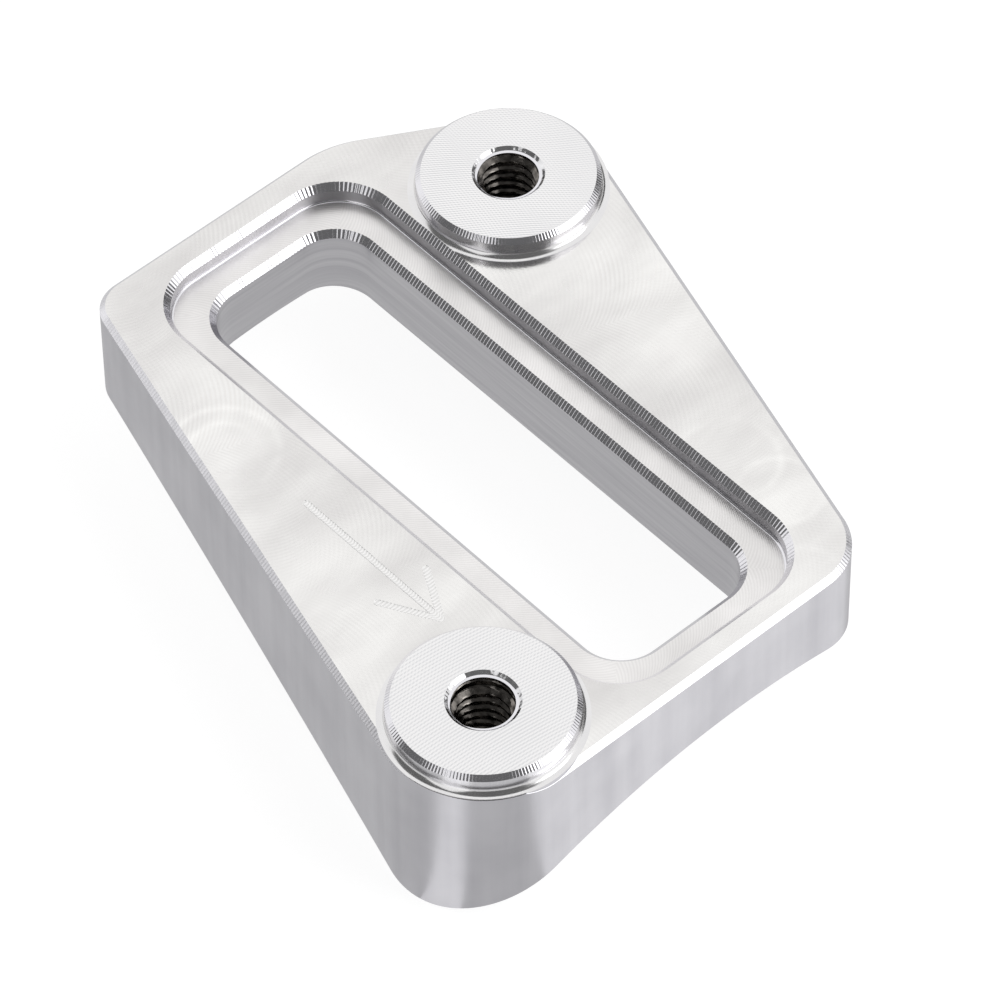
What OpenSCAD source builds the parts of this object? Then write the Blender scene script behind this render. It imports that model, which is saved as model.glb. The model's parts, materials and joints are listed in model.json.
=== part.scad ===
// Weld-on mount for a mass air flow sensor, milled from one block of aluminium.
// The curved underside sits on a round air duct and is welded to it. The sensor
// drops through the slot into the air stream, its seal sits in the sunk seat
// around the slot, and two screws hold its flange down on the round bosses.
//
// Frame: the origin is on the crown of the duct, under the middle of the slot.
// +X runs along the duct, the way the engraved arrow points. +Z is out of the duct.

/* [Duct saddle] */
// Outer diameter of the duct that the underside fits
duct_d = 88.9; // [70:0.1:160]
// Thickness of the plate over the crown of the duct
crown_t = 6; // [4.5:0.1:12]

/* [Sensor slot] */
// Length of the slot, along the duct
slot_l = 38.6; // [32:0.1:60]
// Width of the slot, across the duct
slot_w = 11.7; // [8:0.1:16]
// Radius of the slot's corners
slot_r = 2.9; // [1:0.1:3.8]

/* [Seal seat] */
// Ledge that the seal sits on, at the ends of the slot
ledge_ends = 2.2; // [1:0.1:4]
// Ledge that the seal sits on, at the sides of the slot
ledge_sides = 2.35; // [1:0.05:4]
// Depth of the seat below the top of the plate
seat_depth = 1.35; // [0.8:0.05:3]
// Radius of the seat's corners
seat_r = 3.9; // [1.5:0.1:6]
// Small radius that the cutter leaves at the foot of the seat's wall
seat_root_r = 0.3; // [0.1:0.05:0.6]
// Bevel on the top edges of the slot and of the seat
inner_bevel = 0.42; // [0.1:0.02:0.6]

/* [Plate outline] */
// Wall between the seat and the plate's straight left end
left_wall = 2.37; // [1.5:0.01:8]
// Wall between the seat and the plate's straight right end
right_wall = 2.04; // [1.5:0.01:8]
// How far the left corner reaches past the side of the seat
left_reach = 3.05; // [2:0.05:4]
// Radius of the left corner
left_r = 2.6; // [1.5:0.1:5]
// How far the right corner reaches past the side of the seat
right_reach = 3.7; // [2.5:0.05:5]
// Radius of the right corner
right_r = 4.35; // [2:0.05:7]
// How far the bend beside the far boss reaches past the side of the seat
bend_reach = 6.3; // [4:0.05:7]
// Radius of the bend beside the far boss
bend_r = 7.55; // [4:0.05:10]
// Bevel around the top edge of the plate
edge_bevel = 0.36; // [0.1:0.02:0.8]

/* [Screw bosses] */
// Diameter of each boss
boss_d = 11.72; // [9:0.02:16]
// Height of each boss above the plate
boss_h = 1.41; // [1.2:0.01:5]
// Bevel around the top of each boss
boss_bevel = 0.31; // [0.1:0.01:0.6]
// Fillet at the foot of each boss
boss_fillet = 0.45; // [0.1:0.01:0.8]
// Plate left outside the foot of that fillet
boss_margin = 0.09; // [0.05:0.01:3]
// Flat between the wall of the near boss and the side of the seat
near_gap = 0.6; // [0.5:0.01:5]
// Flat between the wall of the far boss and the side of the seat
far_gap = 0.7; // [0.5:0.01:5]
// How far the far boss stands in from the end of the slot
far_inset = 6.15; // [4:0.05:10]

/* [Screw holes] */
// Core diameter of the screw holes, tapped for 4 mm screws
core_d = 3.3; // [2:0.05:5]
// Width of the countersink around each hole
sink_w = 0.66; // [0.2:0.01:1.2]
// Metal left under the drilled tip of the screw holes
hole_floor = 1.4; // [0.8:0.1:3]
// Point angle of the drill, in degrees
drill_angle = 118; // [90:1:140]

/* [Flow arrow] */
// Length of the engraved arrow
arrow_l = 12.2; // [6:0.1:18]
// How far the arrow's tip lies past the middle of the slot
arrow_tip_x = 10; // [2:0.1:12]
// How far the arrow lies from the side of the seat
arrow_off = 3.45; // [2.8:0.05:4]
// Length of the arrow's head
head_l = 3.5; // [2:0.1:5]
// Half the width of the arrow's head
head_half_w = 1.95; // [1:0.05:2.2]
// Width of the engraved groove
groove_w = 0.42; // [0.2:0.02:0.8]
// Depth of the engraved groove
groove_depth = 0.15; // [0.05:0.01:0.4]

/* [Hidden] */
$fn = 96;

// How far a cutter runs past the face that it cuts
over = 0.5;

duct_r = duct_d / 2;
boss_r = boss_d / 2;
core_r = core_d / 2;

// Seat size, and the half widths that other features are set from
seat_l = slot_l + 2 * ledge_ends;
seat_w = slot_w + 2 * ledge_sides;
seat_side = seat_w / 2;
seat_z = crown_t - seat_depth;

// Straight ends of the plate
left_x = -seat_l / 2 - left_wall;
right_x = seat_l / 2 + right_wall;

// Centres of the bosses, and the plate's radius around them
boss_corner_r = boss_r + boss_fillet + boss_margin;
near_xy = [right_x - boss_corner_r, -seat_side - near_gap - boss_r];
far_xy = [far_inset - slot_l / 2, seat_side + far_gap + boss_r];
boss_places = [near_xy, far_xy];

// The outline is a band pulled tight around five circles, as [x, y, radius],
// anticlockwise from the near boss. The last value says whether the top edge
// is bevelled around that corner.
corners = [
    [near_xy.x, near_xy.y, boss_corner_r, false],
    [right_x - right_r, seat_side + right_reach - right_r, right_r, true],
    [far_xy.x, far_xy.y, boss_corner_r, false],
    [left_x + bend_r, seat_side + bend_reach - bend_r, bend_r, true],
    [left_x + left_r, left_r - seat_side - left_reach, left_r, true]
];
corner_count = len(corners);

function centre(i) = [corners[i % corner_count].x, corners[i % corner_count].y];
function radius(i) = corners[i % corner_count][2];

// Direction square to the straight edge that leaves corner i, facing outwards.
// The edge touches both circles, so the distance between their centres and the
// difference of their radii give the angle.
function edge_normal(i) =
    let(run = centre(i + 1) - centre(i))
    atan2(run.y, run.x) - acos((radius(i) - radius(i + 1)) / norm(run));

// The straight edges are set in by a few microns from the line that would only
// touch the corner circles, so that they cross those circles cleanly.
flat_in = 0.003;

function on_edge(i, angle) = centre(i) + (radius(i) - flat_in) * [cos(angle), sin(angle)];

// Height of the duct's surface at a distance y from the crown
function duct_z(y) = sqrt(duct_r * duct_r - y * y) - duct_r;

// Depth of the block that the underside is cut from
outer_y = max(far_xy.y, -near_xy.y) + boss_corner_r;
block_z = duct_z(outer_y) - over;

// Screw holes: both are drilled to the depth that the thinner place allows
boss_top_z = crown_t + boss_h;
drill_tip = core_r / tan(drill_angle / 2);
hole_end_z = max(duct_z(near_xy.y), duct_z(far_xy.y)) + hole_floor;
hole_depth = boss_top_z - hole_end_z;

// Middle line of the flow arrow
arrow_y = -seat_side - arrow_off;

// Flat rectangle with round corners, centred on the origin
module round_rect(l, w, r) {
    square([l - 2 * r, w], center = true);
    square([l, w - 2 * r], center = true);
    for (sx = [-1, 1], sy = [-1, 1])
        translate([sx * (l / 2 - r), sy * (w / 2 - r)])
            circle(r = r);
}

// Frustum on a rectangle with round corners. It is l by w with corner radius r
// at z = 0, and wider by rise on every side at z = rise.
module flare(l, w, r, rise) {
    rotate([90, 0, 90])
        linear_extrude(height = l - 2 * r, center = true)
            polygon([[-w / 2, 0], [w / 2, 0], [w / 2 + rise, rise], [-w / 2 - rise, rise]]);
    rotate([90, 0, 0])
        linear_extrude(height = w - 2 * r, center = true)
            polygon([[-l / 2, 0], [l / 2, 0], [l / 2 + rise, rise], [-l / 2 - rise, rise]]);
    for (sx = [-1, 1], sy = [-1, 1])
        translate([sx * (l / 2 - r), sy * (w / 2 - r), 0])
            cylinder(h = rise, r1 = r, r2 = r + rise);
}

// Bevel and the open space above it, for an edge whose face is at z = 0
module bevelled_mouth(l, w, r, bevel, clear) {
    translate([0, 0, -bevel])
        flare(l, w, r, bevel);
    linear_extrude(height = clear)
        round_rect(l + 2 * bevel, w + 2 * bevel, r + bevel);
}

// Floor of the seat with a small radius all round where it meets the wall
module rounded_floor(l, w, r, root) {
    linear_extrude(height = root)
        round_rect(l - 2 * root, w - 2 * root, r - root);
    for (s = [-1, 1]) {
        translate([0, s * (w / 2 - root), root])
            rotate([0, 90, 0])
                cylinder(h = l - 2 * r, r = root, center = true);
        translate([s * (l / 2 - root), 0, root])
            rotate([90, 0, 0])
                cylinder(h = w - 2 * r, r = root, center = true);
    }
    for (sx = [-1, 1], sy = [-1, 1])
        translate([sx * (l / 2 - r), sy * (w / 2 - r), root])
            rotate_extrude()
                translate([r - root, 0])
                    circle(r = root);
}

// Everything that is cut for the seal seat
module seat_cut() {
    translate([0, 0, seat_z]) {
        rounded_floor(seat_l, seat_w, seat_r, seat_root_r);
        translate([0, 0, seat_root_r])
            linear_extrude(height = seat_depth - seat_root_r)
                round_rect(seat_l, seat_w, seat_r);
    }
    translate([0, 0, crown_t])
        bevelled_mouth(seat_l, seat_w, seat_r, inner_bevel, boss_fillet + over);
}

// Everything that is cut for the slot, right through the plate
module slot_cut() {
    translate([0, 0, block_z - over])
        linear_extrude(height = seat_z - block_z + over)
            round_rect(slot_l, slot_w, slot_r);
    translate([0, 0, seat_z])
        bevelled_mouth(slot_l, slot_w, slot_r, inner_bevel, over);
}

// Flat shape of the plate
module outline() {
    polygon([
        for (i = [0 : corner_count - 1])
            each [on_edge(i, edge_normal(i)), on_edge(i + 1, edge_normal(i))]
    ]);
    for (i = [0 : corner_count - 1])
        translate(centre(i))
            circle(r = radius(i));
}

// Plate with the duct's round surface cut out of its underside
module saddled_plate() {
    difference() {
        translate([0, 0, block_z])
            linear_extrude(height = crown_t - block_z)
                outline();
        translate([0, 0, -duct_r])
            rotate([0, 90, 0])
                cylinder(h = 2 * seat_l, r = duct_r, center = true, $fn = 360);
    }
}

// Section of the cutter for the outer bevel. The plate's edge is at x = 0 and
// its top is at y = 0.
module bevel_section() {
    polygon([[over, -edge_bevel - over], [over, over], [-edge_bevel - over, over]]);
}

// Outer bevel: along each straight edge, and round each corner without a boss.
// Beside a boss the straight cut runs out past the end of the edge.
module outer_bevel_cut() {
    for (i = [0 : corner_count - 1]) {
        normal = edge_normal(i);
        start = on_edge(i, normal);
        end = on_edge(i + 1, normal);
        run_in = radius(i);
        run_out = radius(i + 1);
        translate([start.x, start.y, crown_t])
            rotate([90, 0, normal])
                translate([0, 0, -norm(end - start) - run_out])
                    linear_extrude(height = run_in + norm(end - start) + run_out)
                        bevel_section();
        if (corners[i][3]) {
            before = edge_normal((i + corner_count - 1) % corner_count);
            turn = normal - before;
            translate([corners[i].x, corners[i].y, crown_t])
                rotate([0, 0, before])
                    rotate_extrude(angle = turn < 0 ? turn + 360 : turn)
                        translate([radius(i), 0])
                            bevel_section();
        }
    }
}

// Round boss with a bevelled top and a fillet at its foot. It stands on z = 0
// and goes down into the plate as far as the outer bevel reaches.
module boss() {
    root = edge_bevel + over;
    rotate_extrude()
        difference() {
            union() {
                square([boss_r, boss_h]);
                translate([0, -root])
                    square([boss_r + boss_fillet, root + boss_fillet]);
            }
            translate([boss_r + boss_fillet, boss_fillet])
                circle(r = boss_fillet);
            translate([boss_r, boss_h])
                polygon([[over, -boss_bevel - over], [over, over], [-boss_bevel - over, over]]);
        }
}

// Tapped hole with a countersunk mouth and a drilled tip. The mouth is at z = 0.
module screw_hole() {
    rotate_extrude()
        polygon([
            [0, -hole_depth],
            [core_r, drill_tip - hole_depth],
            [core_r, -sink_w],
            [core_r + sink_w + over, over],
            [0, over]
        ]);
}

// Straight groove with round ends between two points on the plate
module groove(from, to) {
    run = to - from;
    translate([from.x, from.y, crown_t - groove_depth])
        rotate([0, 0, atan2(run.y, run.x)])
            linear_extrude(height = groove_depth + over) {
                translate([0, -groove_w / 2])
                    square([norm(run), groove_w]);
                circle(d = groove_w);
                translate([norm(run), 0])
                    circle(d = groove_w);
            }
}

// Arrow that shows which way the air flows
module arrow_cut() {
    tip = [arrow_tip_x, arrow_y];
    groove([arrow_tip_x - arrow_l, arrow_y], tip);
    for (side = [-1, 1])
        groove([arrow_tip_x - head_l, arrow_y + side * head_half_w], tip);
}

// The whole mount
module sensor_mount() {
    color([0.86, 0.86, 0.87])
        difference() {
            union() {
                difference() {
                    saddled_plate();
                    outer_bevel_cut();
                }
                for (place = boss_places)
                    translate([place.x, place.y, crown_t])
                        boss();
            }
            seat_cut();
            slot_cut();
            for (place = boss_places)
                translate([place.x, place.y, boss_top_z])
                    screw_hole();
            arrow_cut();
        }
}

sensor_mount();
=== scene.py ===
"""Looks of a weld-on mount for a mass air flow sensor, milled from one block of aluminium.

The mount is one closed shell. It is cut the way the real one is milled: a bevelled plate
with two bosses is made first, and the duct saddle, the seal seat, the slot, the tapped
holes and the flow arrow are then cut out of it. Shapes are worked out in millimetres and
turned to metres at the end.
"""

import json
import math

import bpy
import numpy as np
from mathutils import Matrix, Vector


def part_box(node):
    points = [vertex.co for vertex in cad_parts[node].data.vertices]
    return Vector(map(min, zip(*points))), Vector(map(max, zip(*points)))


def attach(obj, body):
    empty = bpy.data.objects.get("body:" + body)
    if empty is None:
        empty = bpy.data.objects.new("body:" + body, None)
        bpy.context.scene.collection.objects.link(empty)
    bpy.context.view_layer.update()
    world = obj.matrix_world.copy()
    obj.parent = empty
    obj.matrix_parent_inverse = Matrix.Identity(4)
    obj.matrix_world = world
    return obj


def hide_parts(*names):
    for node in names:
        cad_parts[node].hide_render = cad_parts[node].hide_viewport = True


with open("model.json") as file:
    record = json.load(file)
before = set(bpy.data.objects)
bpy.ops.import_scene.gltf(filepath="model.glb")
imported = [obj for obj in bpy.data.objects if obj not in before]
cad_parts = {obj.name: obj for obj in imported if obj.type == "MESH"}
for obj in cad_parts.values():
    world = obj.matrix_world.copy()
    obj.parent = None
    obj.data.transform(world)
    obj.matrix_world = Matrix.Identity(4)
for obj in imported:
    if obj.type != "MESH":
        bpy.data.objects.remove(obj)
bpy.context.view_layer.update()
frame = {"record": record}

MM = 0.001
MATH = "ShaderNodeMath"

# Places that the frame gives, in millimetres
low, high = (np.array(corner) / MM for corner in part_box("sensor_mount"))
mounts = {mount["name"]: np.array(mount["pos_m"]) / MM for mount in frame["record"]["mounts"]}
near_boss = mounts["near_screw"][:2]
far_boss = mounts["far_screw"][:2]
boss_top_z = high[2]
top_z = mounts["sensor_slot"][2]
seat_z = mounts["seal_seat"][2]
left_x, right_x = low[0], high[0]

# Duct that the saddle fits
duct_r = 88.9 / 2

# Slot and seal seat
slot_l, slot_w, slot_r = 38.6, 11.7, 2.9
seat_l, seat_w, seat_r = 43.0, 16.4, 3.9
seat_root_r = 0.15
inner_bevel = 0.42

# Plate: bevel and round corners, as reach past the side of the seat and radius
edge_bevel = 0.36
left_reach, left_r = 3.05, 2.6
right_reach, right_r = 3.7, 4.35
bend_reach, bend_r = 6.3, 7.55

# Bosses and tapped holes, whose lead-in is the plain bore above the threads
boss_r, boss_bevel, boss_fillet, boss_margin = 5.86, 0.31, 0.45, 0.09
rim_r, lip_r, lead_r, core_r = 2.31, 2.11, 1.93, 1.65
lip_depth, near_lead, far_lead, lead_taper = 0.25, 0.95, 0.45, 0.2
hole_depth, drill_angle = 8.5, 118
thread_pitch, thread_depth = 0.7, 0.36
thread_reach, thread_flank = 0.75, 0.62    # half width of its groove and of a flank, in half pitches

# Engraved arrow
arrow_l, arrow_tip_x, arrow_off = 12.2, 10.0, 3.45
arrow_y = -seat_w / 2 - arrow_off
head_l, head_half_w = 3.5, 1.95
groove_w, groove_depth = 0.5, 0.06
bite_pitch, bite_depth = 0.22, 0.005

# Chatter that the bevel cutter leaves: pitch and size of the ridges square to each edge
inner_pitch, inner_chatter = 0.254, 0.0076
outer_pitch, outer_chatter = 0.25, 0.0009
rim_pitch, rim_chatter = 0.21, 0.0045
corner_chatter = 8    # times the outer chatter, at the plate's right corner
STEPS = 6    # points along an edge or a groove for each ridge or bite

# Paths of the cutters on the flat faces: angle in degrees, middle, radius and pitch of the
# arcs and, where a path is repeated side by side, the width of a lane
PLATE_PATHS = [(34, (0, 0), 5, 0.26, 7), (-71, (3, 2), 9, 0.31, 13)]
FACE_MILL_PATHS = [(180, (0, -21.1), 54, 0.23), (-62, (0, 0), 54, 0.21)]
seat_arc_pitch = 0.24

# Round marks that the cutter left where it dwelt on the plate: place and radius of each, and
# then the width of all, and how many times as deep as the arcs they are
DWELL_MARKS = [
    (-8.8, -12.6, 2.2), (-8.8, -12.6, 3.4), (12.5, 9.6, 3.2), (16.4, 10.2, 2.6), (22.3, 6.6, 2.3)
]
dwell_w, dwell_depth = 0.4, 1.8

# Glossier ring on the plate round each boss: width, and how much it takes off the roughness
ring_w, ring_gloss = 1.5, 0.14


def ring_solid(name, rows):
    """Closed mesh over a grid of points.

    Row i of rows is joined to row i + 1 by quads, and the first and last rows are closed
    by flat caps. Rows run upwards and each runs anticlockwise seen from above.
    """
    count, n = rows.shape[:2]
    i, j = np.meshgrid(np.arange(count - 1), np.arange(n), indexing="ij")
    k = (j + 1) % n
    quads = np.stack([i * n + j, i * n + k, (i + 1) * n + k, (i + 1) * n + j], axis=-1)
    floor = np.arange(n)[::-1]
    lid = (count - 1) * n + np.arange(n)
    faces = quads.reshape(-1, 4).tolist() + [floor.tolist(), lid.tolist()]
    mesh = bpy.data.meshes.new(name)
    mesh.from_pydata(rows.reshape(-1, 3).tolist(), [], faces)
    mesh.update()
    piece = bpy.data.objects.new(name, mesh)
    bpy.context.collection.objects.link(piece)
    return piece


def chatter(along, length, pitch, size):
    """Width that the cutter's ridges add to a bevel, at a distance along its closed edge.

    A sine of about the given pitch plus three tenths of its double, which makes one flank
    of each ridge the steeper, with a whole number of waves in the length, times a slow
    swell that makes some ridges deeper than others. The size is square to the bevel's
    face, and the width, at 45 degrees to it, is the square root of 2 times as much.
    """
    turn = 2 * np.pi * along / length
    waves = round(length / pitch)
    swell = 1 + 0.08 * np.sin(turn * round(waves / 9) + 1.3) + 0.08 * np.sin(turn * round(waves / 4.3))
    return size * (np.sin(turn * waves) + 0.3 * np.sin(2 * turn * waves)) * swell * math.sqrt(2)


def loaded_side(normals):
    """Share of the chatter along an inner edge, by where the edge's normal points.

    It is full at the far side and the left end, where the cutter was loaded, and a tenth
    at the right end and the near side.
    """
    least = 0.1
    right, far = normals.T
    load = 0.3 + 1.5 * far + np.where(right < 0, -1.6 * right, -0.9 * right)
    return least + (1 - least) * np.clip(load, 0, 1)


def banded_path(corners, step):
    """Closed path pulled tight around circles.

    corners is a list of (x, y, radius), anticlockwise. The straight run between two
    circles touches both: it turns from the line of centres by the angle whose cosine is
    the difference of radii over the distance of centres. Gives, for each point, its place,
    its outward normal, its corner (or -1 on a straight run), its depth below the line of
    the nearer straight run and its distance along the path, and then the path's length.
    """
    places = np.array(corners, float)
    runs = np.roll(places, -1, axis=0)[:, :2] - places[:, :2]
    gaps = places[:, 2] - np.roll(places, -1, axis=0)[:, 2]
    angles = np.arctan2(runs[:, 1], runs[:, 0]) - np.arccos(gaps / np.linalg.norm(runs, axis=1))
    points, normals, owner, depth = [], [], [], []
    for i, (x, y, r) in enumerate(places):
        start = angles[i - 1]
        turn = (angles[i] - start) % (2 * np.pi)
        a = start + turn * np.linspace(0, 1, max(3, int(turn * r / step)), endpoint=False)
        n = np.stack([np.cos(a), np.sin(a)], axis=1)
        points.append((x, y) + r * n)
        normals.append(n)
        owner.append(np.full(len(a), i))
        depth.append(r * (1 - np.cos(np.minimum(a - start, start + turn - a))))
        n = np.array([math.cos(angles[i]), math.sin(angles[i])])
        from_point = (x, y) + r * n
        to_point = places[(i + 1) % len(places), :2] + places[(i + 1) % len(places), 2] * n
        t = np.linspace(0, 1, int(np.linalg.norm(to_point - from_point) / step), endpoint=False)
        points.append(from_point + t[:, None] * (to_point - from_point))
        normals.append(np.tile(n, (len(t), 1)))
        owner.append(np.full(len(t), -1))
        depth.append(np.zeros(len(t)))
    points, normals, owner, depth = (np.concatenate(part) for part in (points, normals, owner, depth))
    sides = np.linalg.norm(np.roll(points, -1, axis=0) - points, axis=1)
    along = np.concatenate([[0], np.cumsum(sides)])
    return points, normals, owner, depth, along[:-1], along[-1]


def ledge_rows(points, normals, profile):
    """Rows of a solid whose profile is carried along a closed path.

    profile is a list of (offset outwards, height); each is a number or one value a point.
    """
    return np.stack([
        np.concatenate([points + normals * np.reshape(offset, (-1, 1)),
                        np.broadcast_to(np.reshape(height, (-1, 1)), (len(points), 1))], axis=1)
        for offset, height in profile
    ])


def round_rectangle(length, width, r, step):
    """Closed path round a rectangle with round corners, centred on the origin."""
    x, y = length / 2 - r, width / 2 - r
    return banded_path([(x, -y, r), (x, y, r), (-x, y, r), (-x, -y, r)], step)


def boss_corner(place):
    """Corner of the plate around a boss, just outside the foot of the boss."""
    return (place[0], place[1], boss_r + boss_fillet + boss_margin)


def make_plate():
    """Plate as an outline carried upwards, drawn in at the top by the bevel.

    The bevel is as wide as its plane cuts: next to a boss it narrows by the depth of the
    outline below the line of the straight run, down to a hairline. Round the right corner,
    the second of the list, the cutter chattered much harder.
    """
    hairline = 0.004
    side = seat_w / 2
    corners = [
        boss_corner(near_boss),
        (right_x - right_r, side + right_reach - right_r, right_r),
        boss_corner(far_boss),
        (left_x + bend_r, side + bend_reach - bend_r, bend_r),
        (left_x + left_r, left_r - side - left_reach, left_r),
    ]
    points, normals, owner, depth, along, length = banded_path(corners, outer_pitch / STEPS)
    beside_boss = np.isin(owner, (0, 2))
    ridge = chatter(along, length, outer_pitch, outer_chatter)
    ridge = ridge * np.where(owner == 1, corner_chatter, 1)
    width = np.where(beside_boss, edge_bevel - depth, edge_bevel) + ridge
    width = np.maximum(width, hairline)
    profile = [(0, low[2] - 1), (0, top_z - width), (-width, top_z)]
    return ring_solid("plate", ledge_rows(points, normals, profile))


def make_boss(place):
    """Boss as a profile turned about its axis: foot, hollow fillet, wall and bevelled rim."""
    inner_share = 0.8    # of the margin, so that the foot stays inside the plate's outline
    n = round(2 * np.pi * boss_r / rim_pitch) * STEPS
    turn = np.linspace(0, 2 * np.pi, n, endpoint=False)
    circle = np.stack([np.cos(turn), np.sin(turn)], axis=1)
    ridge = chatter(turn * boss_r, 2 * np.pi * boss_r, rim_pitch, rim_chatter)
    bend = np.radians(np.linspace(-90, -180, 7))
    spread = boss_fillet + inner_share * boss_margin
    foot = [(boss_r + spread * (1 + math.cos(a)), top_z + boss_fillet * (1 + math.sin(a))) for a in bend]
    profile = [(boss_r + spread, top_z - 1), *foot,
               (boss_r, boss_top_z - boss_bevel - ridge), (boss_r - boss_bevel - ridge, boss_top_z)]
    return ring_solid("boss", ledge_rows(np.tile(place, (n, 1)), circle, profile))


def make_saddle():
    """Duct as a cylinder about a line along X, one duct radius below the crown.

    It is longer than the mount, so that it cuts right through.
    """
    n, longer = 720, 1.2
    turn = np.linspace(0, 2 * np.pi, n, endpoint=False)
    circle = np.stack([0 * turn, np.sin(turn), np.cos(turn)], axis=1) * duct_r - (0, 0, duct_r)
    ends = np.array([(longer * left_x, 0, 0), (longer * right_x, 0, 0)])
    return ring_solid("saddle", circle[::-1][None] + ends[:, None])


def make_seat_cutter():
    """Seal seat: flat floor, small root radius, straight wall, bevel with ridges."""
    points, normals, _, _, along, length = round_rectangle(seat_l, seat_w, seat_r, inner_pitch / STEPS)
    ridge = chatter(along, length, inner_pitch, inner_chatter) * loaded_side(normals)
    bend = np.radians(np.linspace(-90, 0, 5))
    root = [(seat_root_r * (math.cos(a) - 1), seat_z + seat_root_r * (1 + math.sin(a))) for a in bend]
    profile = [*root, (0, top_z - inner_bevel - ridge), (inner_bevel + ridge, top_z),
               (inner_bevel + ridge, top_z + boss_fillet + 0.5)]
    return ring_solid("seat", ledge_rows(points, normals, profile))


def make_slot_cutter():
    """Slot: a straight wall right through the plate, and a bevel with ridges at the seat."""
    points, normals, _, _, along, length = round_rectangle(slot_l, slot_w, slot_r, inner_pitch / STEPS)
    ridge = chatter(along, length, inner_pitch, inner_chatter) * loaded_side(normals)
    profile = [(0, low[2] - 2), (0, seat_z - inner_bevel - ridge), (inner_bevel + ridge, seat_z),
               (inner_bevel + ridge, seat_z + 0.5)]
    return ring_solid("slot", ledge_rows(points, normals, profile))


def make_hole_cutter(place, lead):
    """Tapped hole, as a radius that depends on the turn and the height.

    The radius is the larger of two. One is the mouth: down the countersink's cone, in
    over the nearly flat lip, down the plain lead-in and in again to the core. The other is
    the core plus the thread, a trapezoid wave of height less turn, so that it climbs one
    pitch in each turn. The thread dies out near the bottom, where the drill's cone draws
    the hole in to a flat point that is a hair wide.
    """
    n, per_pitch, over, point_r = 72, 14, 0.3, 0.05
    tip = core_r / math.tan(math.radians(drill_angle / 2))
    bottom = boss_top_z - hole_depth
    turn = np.linspace(0, 2 * np.pi, n, endpoint=False)
    depths = [-over, rim_r - lip_r, lip_depth, lead, lead + lead_taper]
    z = np.arange(bottom + tip, boss_top_z, thread_pitch / per_pitch)
    z = np.unique(np.concatenate([z, boss_top_z - np.array(depths)]))
    wave = np.abs(2 * ((z[:, None] / thread_pitch - turn[None] / (2 * np.pi)) % 1) - 1)
    thread = thread_depth * np.clip((thread_reach - wave) / thread_flank, 0, 1)
    thread = thread * np.clip((z[:, None] - bottom - tip) / thread_pitch - 0.6, 0, 1)
    mouth = np.interp(boss_top_z - z, depths, [rim_r + over, lip_r, lead_r, lead_r, core_r])
    radius = np.maximum(core_r + thread, mouth[:, None])
    radius = np.vstack([np.full((1, n), point_r), radius])
    z = np.concatenate([[bottom], z])
    rows = np.stack([
        place[0] + radius * np.cos(turn), place[1] + radius * np.sin(turn),
        np.broadcast_to(z[:, None], radius.shape)
    ], axis=-1)
    return ring_solid("hole", rows)


def make_groove_cutter(start, end):
    """Groove that a round-nosed cutter leaves between two points, as a long shallow bar.

    The nose's radius gives the groove its width at its depth, and swells a little at each
    bite of the cutter. Rows run along the bar. Each is the arc of the nose that lies below
    a level just over the plate, and at both ends the nose's ball draws it in to a point.
    """
    n, over = 11, 0.02
    nose = (groove_w ** 2 / 4 + groove_depth ** 2) / (2 * groove_depth)
    drop = nose - groove_depth - over
    run = np.array(end) - start
    length = np.linalg.norm(run)
    run = run / length
    cap = -math.sqrt(nose ** 2 - drop ** 2) * np.cos(np.radians([3, 15, 30, 45, 60, 75]))
    middle = np.linspace(0, length, int(length / bite_pitch * STEPS))
    along = np.concatenate([cap, middle, length - cap[::-1]])
    ends = np.sqrt(nose ** 2 - cap ** 2)
    radius = np.concatenate([ends, np.full(len(middle), nose), ends[::-1]])
    radius = radius + bite_depth * np.sin(2 * np.pi * along / bite_pitch)
    half = np.arccos(np.clip(drop / radius, 0, 0.99999))
    turn = half[:, None] * np.linspace(-1, 1, n)
    side = np.array([-run[1], run[0]])
    level = np.array(start) + along[:, None] * run
    across = radius[:, None] * np.sin(turn)
    rows = np.empty((*turn.shape, 3))
    rows[..., :2] = level[:, None] + across[..., None] * side
    rows[..., 2] = top_z - groove_depth + nose - radius[:, None] * np.cos(turn)
    return ring_solid("groove", rows)


def apply_modifiers(piece):
    """Turns a piece's modifiers into its mesh."""
    graph = bpy.context.evaluated_depsgraph_get()
    mesh = bpy.data.meshes.new_from_object(piece.evaluated_get(graph))
    piece.modifiers.clear()
    old = piece.data
    piece.data = mesh
    bpy.data.meshes.remove(old)


def machine(body, tool, operation):
    """Joins a solid to the body or cuts it out, and throws the solid away."""
    step = body.modifiers.new("machine", "BOOLEAN")
    step.operation = operation
    step.solver = "MANIFOLD"
    step.object = tool
    apply_modifiers(body)
    bpy.data.objects.remove(tool)


def make_mount():
    """The whole mount, cut and joined in the order that it is milled."""
    body = make_plate()
    for place in (near_boss, far_boss):
        machine(body, make_boss(place), "UNION")
    machine(body, make_saddle(), "DIFFERENCE")
    machine(body, make_seat_cutter(), "DIFFERENCE")
    machine(body, make_slot_cutter(), "DIFFERENCE")
    for place, lead in ((near_boss, near_lead), (far_boss, far_lead)):
        machine(body, make_hole_cutter(place, lead), "DIFFERENCE")
    tip = (arrow_tip_x, arrow_y)
    tails = [(arrow_tip_x - arrow_l, arrow_y)]
    tails += [(arrow_tip_x - head_l, arrow_y + side * head_half_w) for side in (-1, 1)]
    for tail in tails:
        machine(body, make_groove_cutter(tail, tip), "DIFFERENCE")
    body.name = body.data.name = "milled_mount"
    return body


def smooth_edges(body):
    """Shades round faces smoothly and keeps the edges crisp, with big faces leading."""
    body.data.shade_smooth()
    body.data.set_sharp_from_angle(angle=math.radians(30))
    even = body.modifiers.new("even", "WEIGHTED_NORMAL")
    even.keep_sharp = True
    apply_modifiers(body)


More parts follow.
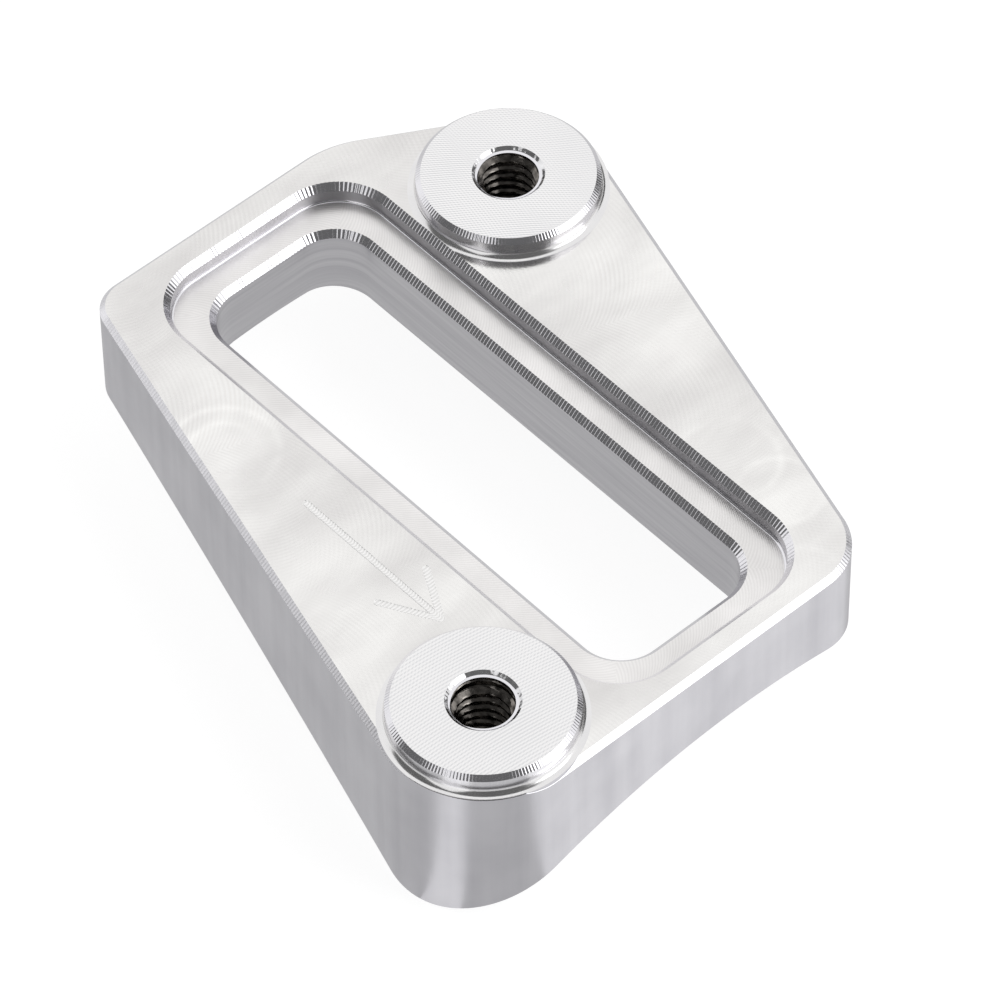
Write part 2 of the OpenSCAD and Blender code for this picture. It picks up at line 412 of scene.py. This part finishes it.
def scale_to_metres(body):
    """Turns millimetres into metres, in the mesh itself."""
    body.data.transform(Matrix.Scale(MM, 4))


def linear(colour):
    """sRGB hex colour as linear red, green, blue and alpha."""
    parts = [int(colour[i:i + 2], 16) / 255 for i in (1, 3, 5)]
    return (*(c / 12.92 if c <= 0.04045 else ((c + 0.055) / 1.055) ** 2.4 for c in parts), 1.0)


def add(tree, kind, *values, inputs=(), **settings):
    """Adds a node with its settings. Values fill its inputs in order, and inputs by name.

    Each is a number, a colour, a socket, or a node, which stands for its first output.
    """
    node = tree.nodes.new(kind)
    for name, value in settings.items():
        setattr(node, name, value)
    for name, value in [*enumerate(values), *dict(inputs).items()]:
        if isinstance(value, bpy.types.Node):
            value = value.outputs[0]
        if isinstance(value, bpy.types.NodeSocket):
            tree.links.new(value, node.inputs[name])
        else:
            node.inputs[name].default_value = value
    return node


def new_material(name):
    """Empty node material, its tree and the piece's own coordinates in metres."""
    material = bpy.data.materials.new(name)
    material.use_nodes = True
    tree = material.node_tree
    tree.nodes.clear()
    return material, tree, add(tree, "ShaderNodeTexCoord").outputs["Object"]


def bare_metal(tree, dark, light, amount, roughness, height=0.0, depth=0.0):
    """Bare metal, coloured between two sRGB colours by an amount from 0 to 1.

    height is a pattern from 0 to about 1, and depth is its real depth in millimetres.
    """
    colour = add(tree, "ShaderNodeMix", data_type="RGBA",
                 inputs={"Factor": amount, "A": linear(dark), "B": linear(light)})
    bump = add(tree, "ShaderNodeBump", inputs={"Height": height, "Distance": depth * MM, "Strength": 1.0})
    shader = add(tree, "ShaderNodeBsdfPrincipled", inputs={
        "Base Color": colour.outputs["Result"], "Metallic": 1.0, "Roughness": roughness, "Normal": bump
    })
    add(tree, "ShaderNodeOutputMaterial", shader)


def cloud(tree, place, size, low_value, high_value, detail=3.0, stretch=(1, 1, 1)):
    """Soft noise between two values, whose patches are about a size in millimetres.

    Where stretch is below 1, the patches run on along that axis as streaks. Nearly all of
    the bare noise lies between 0.3 and 0.7.
    """
    squeezed = add(tree, "ShaderNodeMapping", inputs={"Vector": place, "Scale": stretch})
    noise = add(tree, "ShaderNodeTexNoise",
                inputs={"Vector": squeezed, "Scale": 1 / (size * MM), "Detail": detail})
    return add(tree, "ShaderNodeMapRange", noise, 0.3, 0.7, low_value, high_value)


def cutter_arcs(tree, along, across, radius, pitch):
    """Arcs that the edge of a cutter leaves as it moves, as a pattern from 0 to 1.

    With u = along - sqrt(radius^2 - across^2), the pattern is 0.5 + 0.5 sin(2 pi u / pitch).
    Radius and pitch are in millimetres, along and across in metres.
    """
    squared = add(tree, MATH, across, across, operation="MULTIPLY")
    inside = add(tree, MATH, (radius * MM) ** 2, squared, operation="SUBTRACT")
    clipped = add(tree, MATH, inside, 0.0, operation="MAXIMUM")
    bow = add(tree, MATH, clipped, operation="SQRT")
    u = add(tree, MATH, along, bow, operation="SUBTRACT")
    turns = add(tree, MATH, u, 2 * math.pi / (pitch * MM), operation="MULTIPLY")
    wave = add(tree, MATH, turns, operation="SINE")
    return add(tree, MATH, wave, 0.5, 0.5, operation="MULTIPLY_ADD")


def turned_arcs(tree, place, angle, middle, radius, pitch, lane=None):
    """Cutter arcs whose path is turned by an angle in degrees about a middle in millimetres.

    With a lane, the path is repeated side by side, one lane's width in millimetres apart.
    """
    turn = math.radians(angle)
    shift = Matrix.Rotation(turn, 3, "Z") @ (Vector((*middle, 0)) * -MM)
    turned = add(tree, "ShaderNodeMapping", place, shift, (0, 0, turn))
    parts = add(tree, "ShaderNodeSeparateXYZ", turned).outputs
    across = parts["Y"]
    if lane:
        across = add(tree, MATH, across, lane / 2 * MM, -lane / 2 * MM, operation="WRAP")
    return cutter_arcs(tree, parts["X"], across, radius, pitch)


def face_milled():
    """Plate's top, milled in lanes with a small end mill and then by hand with a fine pad.

    It gives the eye a bright satin face with faint arcs, soft swooshes and a few round
    marks, and a glossier ring round each boss, where the cutter went round it. The real
    arcs are finer than the picture can show, so they are drawn coarser.
    """
    material, tree, place = new_material("face_milled_aluminium")
    one_way, other_way = (turned_arcs(tree, place, *path) for path in PLATE_PATHS)
    choice = cloud(tree, place, 8, 0.0, 1.0, 1.0)
    arcs = add(tree, "ShaderNodeMix", inputs={"Factor": choice, "A": one_way, "B": other_way})
    height = add(tree, MATH, arcs, cloud(tree, place, 4, 0.2, 1.0), operation="MULTIPLY")
    worn = cloud(tree, place, 4, -0.3, 1.0)
    level = add(tree, "ShaderNodeVectorMath", place, (1, 1, 0), operation="MULTIPLY")
    for x, y, radius in DWELL_MARKS:
        reach = add(tree, "ShaderNodeVectorMath", level, (x * MM, y * MM, 0), operation="DISTANCE")
        off = add(tree, MATH, reach.outputs["Value"], radius * MM, operation="SUBTRACT")
        ring = add(tree, MATH, off, operation="ABSOLUTE")
        rim = add(tree, "ShaderNodeMapRange", ring, 0.0, dwell_w * MM, dwell_depth, 0.0)
        height = add(tree, MATH, rim, worn, height, operation="MULTIPLY_ADD")
    swooshes = cloud(tree, place, 5, 0.0, 0.85, 5.0, (1, 0.45, 1))
    shade = add(tree, MATH, height, 0.2, swooshes, operation="MULTIPLY_ADD")
    roughness = cloud(tree, place, 3, 0.22, 0.3)
    foot = (boss_r + boss_fillet) * MM
    for x, y in (near_boss, far_boss):
        reach = add(tree, "ShaderNodeVectorMath", level, (x * MM, y * MM, 0), operation="DISTANCE")
        reach = reach.outputs["Value"]
        smoother = add(tree, "ShaderNodeMapRange", reach, foot, foot + ring_w * MM, ring_gloss, 0.0)
        roughness = add(tree, MATH, roughness, smoother, operation="SUBTRACT")
    bare_metal(tree, "#d9d7d6", "#faf9f7", shade, roughness, height, 0.0024)
    return material


def boss_faced():
    """Boss tops, faced with a big face mill whose edge cut going forth and coming back.

    It gives the eye a bright face with crossed arcs that are coarse enough to see. Going
    forth, the mill's middle ran along the near side of the mount.
    """
    material, tree, place = new_material("faced_aluminium")
    forth, back = (turned_arcs(tree, place, *path) for path in FACE_MILL_PATHS)
    height = add(tree, MATH, back, cloud(tree, place, 6, 0.1, 0.8), forth, operation="MULTIPLY_ADD")
    bare_metal(tree, "#dcdcde", "#f4f3f3", height, 0.24, height, 0.003)
    return material


def seat_milled():
    """Seat's floor, milled by an end mill that ran round the seat.

    It gives the eye fine arcs that run into the seat's wall.
    """
    material, tree, place = new_material("seat_milled_aluminium")
    parts = add(tree, "ShaderNodeSeparateXYZ", place).outputs
    beyond = []
    for axis, size in (("X", seat_l), ("Y", seat_w)):
        reach = add(tree, MATH, parts[axis], operation="ABSOLUTE")
        beyond.append(add(tree, MATH, reach, (size / 2 - seat_r) * MM, operation="SUBTRACT"))
    on_sides = cutter_arcs(tree, parts["X"], beyond[1], seat_r, seat_arc_pitch)
    on_ends = cutter_arcs(tree, parts["Y"], beyond[0], seat_r, seat_arc_pitch)
    at_end = add(tree, MATH, *beyond, operation="GREATER_THAN")
    arcs = add(tree, "ShaderNodeMix", inputs={"Factor": at_end, "A": on_sides, "B": on_ends})
    shade = add(tree, MATH, arcs, 0.35, cloud(tree, place, 4, 0.0, 0.65), operation="MULTIPLY_ADD")
    bare_metal(tree, "#dedcdb", "#f6f4f3", shade, 0.34, arcs, 0.0028)
    return material


def side_milled():
    """Outer walls and the seat's wall, cut by the side of an end mill.

    It gives the eye satin with soft upright bands and fine upright lines, in colours darker than the faces'
    as painted shade, for the shade that the walls mirror.
    """
    material, tree, place = new_material("side_milled_aluminium")
    bands = cloud(tree, place, 1.6, 0.0, 1.0, stretch=(1, 1, 0.06))
    fine = cloud(tree, place, 0.22, 0.0, 0.25, 2.0, (1, 1, 0.02))
    height = add(tree, MATH, bands, fine, operation="ADD")
    shade = add(tree, MATH, bands, 0.5, cloud(tree, place, 5, 0.0, 0.5), operation="MULTIPLY_ADD")
    # Painted shade: both colours are darker than the faces', so the walls read grey.
    bare_metal(tree, "#bdbcc1", "#d4d3d7", shade, 0.34, height, 0.005)
    return material


def slot_milled():
    """Slot's wall, cut by an end mill that ran round it: satin with lines along it, painted grey with shade
    in colours darker than the faces'.
    """
    material, tree, place = new_material("slot_milled_aluminium")
    lines = cloud(tree, place, 0.3, 0.0, 1.0, 4.0, (0.03, 0.03, 1))
    # Painted shade: both colours are darker than the faces', so the wall reads grey.
    bare_metal(tree, "#bdbcc0", "#cecdd0", lines, 0.3, lines, 0.004)
    return material


def edge_bevelled():
    """Outer edge's bevel, which gives the eye a bright satin line. The ridges are in the mesh."""
    material, tree, place = new_material("edge_bevel_aluminium")
    bare_metal(tree, "#e9e8ec", "#e9e8ec", 0.0, cloud(tree, place, 0.8, 0.22, 0.3))
    return material


def chattered_bevel():
    """Bevels of the seat, slot and bosses, cut by a tool that chattered.

    They give the eye bright and dark stripes, because the ridges, which are in the mesh,
    are nearly mirrors. The holes' lips and the root of the seat's wall share the finish.
    """
    material, tree, place = new_material("chattered_aluminium")
    bare_metal(tree, "#e9e8ec", "#e9e8ec", 0.0, cloud(tree, place, 0.8, 0.13, 0.19))
    return material


def boss_turned():
    """Boss sides, cut round by the end mill's side: nearly a mirror, with thin upright lines."""
    material, tree, place = new_material("boss_side_aluminium")
    lines = cloud(tree, place, 0.35, 0.0, 1.0, stretch=(1, 1, 0.03))
    bare_metal(tree, "#dddce0", "#e8e7ea", lines, 0.2, lines, 0.002)
    return material


def fillet_milled():
    """Fillets at the foot of the bosses, left by the round corner of the end mill: soft gloss."""
    material, tree, place = new_material("fillet_aluminium")
    gloss = cloud(tree, place, 1.2, 0.14, 0.2)
    bare_metal(tree, "#e3e2e3", "#eae9e9", cloud(tree, place, 2, 0.0, 1.0), gloss)
    return material


def countersunk():
    """Countersinks, cut with a chattering tool: bright and dark facets in turn."""
    material, tree, place = new_material("countersunk_aluminium")
    facets = cloud(tree, place, 0.45, 0.0, 1.0, 1.0, (1, 1, 0.2))
    bare_metal(tree, "#dcdbdd", "#f2f2f3", facets, 0.16, facets, 0.03)
    return material


def tapped_thread():
    """Tapped threads, painted dark with the shade deep in the hole, in random lighter patches, with glints
    on their crests from their low roughness.
    """
    material, tree, place = new_material("shade_painted_thread_aluminium")
    thread_tone = cloud(tree, place, 0.5, 0.0, 1.0)
    # Painted shade: both colours are dark, for the shade deep in the hole.
    bare_metal(tree, "#2a2826", "#938e89", thread_tone, 0.14, thread_tone, 0.006)
    return material


def saddle_bored():
    """Saddle, bored to the duct's size: grey satin, with fine lines along the tool's sweep."""
    material, tree, place = new_material("bored_aluminium")
    lines = cloud(tree, place, 0.3, 0.0, 1.0, stretch=(1, 0.03, 0.03))
    bare_metal(tree, "#d2d1d5", "#e2e1e4", lines, 0.32, lines, 0.005)
    return material


def arrow_engraved():
    """Arrow, engraved with a round-nosed cutter: bright, with a painted glint at each bite, where its
    colour turns lighter.
    """
    material, tree, place = new_material("engraved_aluminium")
    # Painted glints: the colour turns lighter at each bite of the cutter.
    painted_glints = turned_arcs(tree, place, 0, (arrow_tip_x, arrow_y), groove_w / 2, bite_pitch)
    bare_metal(tree, "#e2e1e0", "#f9f8f7", painted_glints, cloud(tree, place, 0.3, 0.2, 0.3))
    return material


FINISHES = (
    face_milled, boss_faced, seat_milled, side_milled, slot_milled, edge_bevelled, chattered_bevel,
    boss_turned, fillet_milled, countersunk, tapped_thread, saddle_bored, arrow_engraved
)


def finish_faces(body):
    """Gives every face the finish of the cut that made it, told by its place and its slope."""
    mesh = body.data
    count = len(mesh.polygons)
    centre, slope = np.empty(3 * count), np.empty(3 * count)
    mesh.polygons.foreach_get("center", centre)
    mesh.polygons.foreach_get("normal", slope)
    x, y, z = centre.reshape(-1, 3).T
    up = slope.reshape(-1, 3)[:, 2]
    level, sloping = up > 0.995, up > 0.3
    reach = np.minimum(*(np.hypot(x - place[0], y - place[1]) for place in (near_boss, far_boss)))
    from_arrow = np.hypot(np.maximum(np.abs(x - arrow_tip_x + arrow_l / 2) - arrow_l / 2, 0),
                          np.maximum(np.abs(y - arrow_y) - head_half_w, 0))
    close, sliver = 0.03, 0.001
    bevel_reach = 0.6    # inner bevels with their ridges, and a little more
    inside = (np.abs(x) < seat_l / 2 + bevel_reach) & (np.abs(y) < seat_w / 2 + bevel_reach)
    rules = [
        (arrow_engraved, (z < top_z - sliver) & (z > top_z - 2 * groove_depth) & (up > 0.8)
         & (from_arrow < groove_w)),
        (face_milled, level & (np.abs(z - top_z) < close)),
        (boss_faced, level & (np.abs(z - boss_top_z) < close)),
        (seat_milled, level & (np.abs(z - seat_z) < close)),
        (saddle_bored, up < -0.3),
        (chattered_bevel, (reach < lip_r) & (z > boss_top_z - lip_depth)),
        (countersunk, (reach < rim_r + close) & (z > boss_top_z - lip_depth)),
        (tapped_thread, reach < rim_r + close),
        (chattered_bevel, (reach < boss_r + close) & (z > boss_top_z - boss_bevel)),
        (boss_turned, (reach < boss_r + close) & (z > top_z + boss_fillet / 2)),
        (fillet_milled, (reach < boss_r + boss_fillet + close) & (z > top_z)),
        (chattered_bevel, sloping & (z > seat_z - bevel_reach) & inside),
        (edge_bevelled, sloping & (z > seat_z)),
        (slot_milled, (np.abs(x) < slot_l / 2 + close) & (np.abs(y) < slot_w / 2 + close)),
    ]
    finish = np.select([where for _, where in rules], [FINISHES.index(make) for make, _ in rules],
                       FINISHES.index(side_milled))
    mesh.materials.clear()
    for make in FINISHES:
        mesh.materials.append(make())
    mesh.polygons.foreach_set("material_index", finish.astype(np.int32))


def add_camera():
    """Camera of the photograph: a long lens, turned to the left and looking down."""
    heading, drop, roll = math.radians(-48.371), math.radians(50.0204), math.radians(-0.6339)
    target, distance = Vector((5.503, -2.832, top_z)) * MM, 422.624 * MM
    look = Vector((math.sin(heading) * math.cos(drop), math.cos(heading) * math.cos(drop), -math.sin(drop)))
    right = look.cross(Vector((0, 0, 1))).normalized()
    up = right.cross(look)
    right, up = (right * math.cos(roll) + up * math.sin(roll), up * math.cos(roll) - right * math.sin(roll))
    camera = bpy.data.objects.new("camera", bpy.data.cameras.new("camera"))
    camera.data.lens, camera.data.sensor_width = 251.162, 36
    camera.data.clip_start, camera.data.clip_end = 0.01, 20
    camera.matrix_world = Matrix((
        (right.x, up.x, -look.x, 0), (right.y, up.y, -look.y, 0), (right.z, up.z, -look.z, 0), (0, 0, 0, 1)
    ))
    camera.matrix_world.translation = target - look * distance
    bpy.context.collection.objects.link(camera)
    bpy.context.scene.camera = camera


def facing(azimuth, elevation, distance):
    """Place that far from the object in a direction given in degrees, turned to face it."""
    around, up = math.radians(azimuth), math.radians(elevation)
    towards = Vector((math.cos(around) * math.cos(up), math.sin(around) * math.cos(up), math.sin(up)))
    return Matrix.Translation(towards * distance) @ towards.to_track_quat("Z", "Y").to_matrix().to_4x4()


def add_card(name, corners, placed, shade):
    """Card of the studio, which only the metal mirrors: the camera and the floor don't see it."""
    mesh = bpy.data.meshes.new(name)
    mesh.from_pydata([(x, y, 0) for x, y in corners], [], [range(len(corners))])
    card = bpy.data.objects.new(name, mesh)
    card.matrix_world = placed
    bpy.context.collection.objects.link(card)
    material, tree, _ = new_material(name)
    face = add(tree, "ShaderNodeEmission", (shade, shade, shade, 1), 1.0)
    add(tree, "ShaderNodeOutputMaterial", face)
    mesh.materials.append(material)
    card.visible_camera = card.visible_shadow = card.visible_diffuse = False


def add_flag(name, azimuth, elevation, distance, width, height, shade):
    """Upright dark card that faces the object."""
    x, y = width / 2, height / 2
    add_card(name, [(-x, -y), (x, -y), (x, y), (-x, y)], facing(azimuth, elevation, distance), shade)


def add_painted_floor_shade():
    """Grey card on the floor, under the mount and in front of it, as painted shade: it stands for the
    floor's shade at the mount's foot.

    It darkens the outer walls and the slot's wall, which mirror the floor at their foot.
    Behind the near boss it stops at the mount's right end, and in front of it a wedge is
    cut out.
    """
    far, wedge_l, lift, shade = 300, 400, 0.02, 0.66
    sides = np.radians((-80, -56))
    wedge = [near_boss + wedge_l * np.array([math.cos(a), math.sin(a)]) for a in sides]
    corners = [(right_x, far), (-far, far), (-far, -far), wedge[0], near_boss, wedge[1],
               (far, -far), (far, near_boss[1]), (right_x, near_boss[1])]
    corners = [(x * MM, y * MM) for x, y in corners]
    add_card("painted_floor_shade", corners, Matrix.Translation((0, 0, (low[2] + lift) * MM)), shade)


def add_softbox(name, azimuth, elevation, distance, size, radiance):
    """Square soft lamp. Its power follows from its brightness: pi times area times radiance."""
    lamp = bpy.data.objects.new(name, bpy.data.lights.new(name, "AREA"))
    lamp.data.shape = "SQUARE"
    lamp.data.size = size
    lamp.data.energy = math.pi * size ** 2 * radiance
    lamp.matrix_world = facing(azimuth, elevation, distance)
    bpy.context.collection.objects.link(lamp)
    return lamp


def add_floor():
    """Pale floor at the height of the mount's lowest edge.

    Where it is shown it is darker paint with a glow, so that open floor is white and only
    a faint shadow stays.
    """
    half = 3    # metres
    mesh = bpy.data.meshes.new("floor")
    mesh.from_pydata([(-half, -half, 0), (half, -half, 0), (half, half, 0), (-half, half, 0)], [],
                     [(0, 1, 2, 3)])
    mesh.transform(Matrix.Translation((0, 0, low[2] * MM)))
    floor = bpy.data.objects.new("floor", mesh)
    bpy.context.collection.objects.link(floor)
    material, tree, _ = new_material("white_floor")
    paint = add(tree, "ShaderNodeBsdfDiffuse", linear("#f6f6f6"))
    dim = add(tree, "ShaderNodeBsdfDiffuse", linear("#8e8e8e"))
    glow = add(tree, "ShaderNodeEmission", (1, 1, 1, 1), 0.84)
    shown = add(tree, "ShaderNodeAddShader", dim, glow)
    mix = add(tree, "ShaderNodeMixShader", shown_rays(tree), paint, shown)
    add(tree, "ShaderNodeOutputMaterial", mix)
    floor.data.materials.append(material)


def shown_rays(tree):
    """1 for the rays that show the background, straight or in metal or glass, and else 0."""
    rays = add(tree, "ShaderNodeLightPath").outputs
    seen = add(tree, MATH, rays["Is Camera Ray"], rays["Is Glossy Ray"], operation="MAXIMUM")
    return add(tree, MATH, seen, rays["Is Transmission Ray"], operation="MAXIMUM")


def add_world():
    """White studio all round, white where it is shown and dimmer as a light on the floor."""
    dimmer = 0.65
    world = bpy.data.worlds.new("studio")
    world.use_nodes = True
    tree = world.node_tree
    tree.nodes.clear()
    level = add(tree, "ShaderNodeMapRange", shown_rays(tree), 0.0, 1.0, dimmer, 1.0)
    light = add(tree, "ShaderNodeBackground", (1, 1, 1, 1), level)
    add(tree, "ShaderNodeOutputWorld", light)
    bpy.context.scene.world = world


mount = make_mount()
finish_faces(mount)
smooth_edges(mount)
scale_to_metres(mount)
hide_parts("sensor_mount")
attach(mount, "root")

add_camera()
add_floor()
add_world()

# Azimuth and elevation in degrees, distance, width and height in metres, and shade
add_flag("front_right_flag", -29, 38, 0.9, 1.0, 1.6, 0.14)
add_flag("front_left_flag", -116, 31, 0.8, 0.65, 1.15, 0.14)
add_flag("back_flag", 98, 8, 0.8, 0.84, 0.32, 0.1)
# Painted shade: a grey card for the floor's shade at the mount's foot, which only the metal mirrors
add_painted_floor_shade()

# Azimuth and elevation in degrees, distance and side in metres, and radiance
add_softbox("overhead_softbox", 42, 53, 1.2, 0.7, 2.4).visible_glossy = False
add_softbox("right_softbox", 31, 29, 1.0, 0.55, 1.6)

bpy.context.scene.view_settings.view_transform = "Standard"
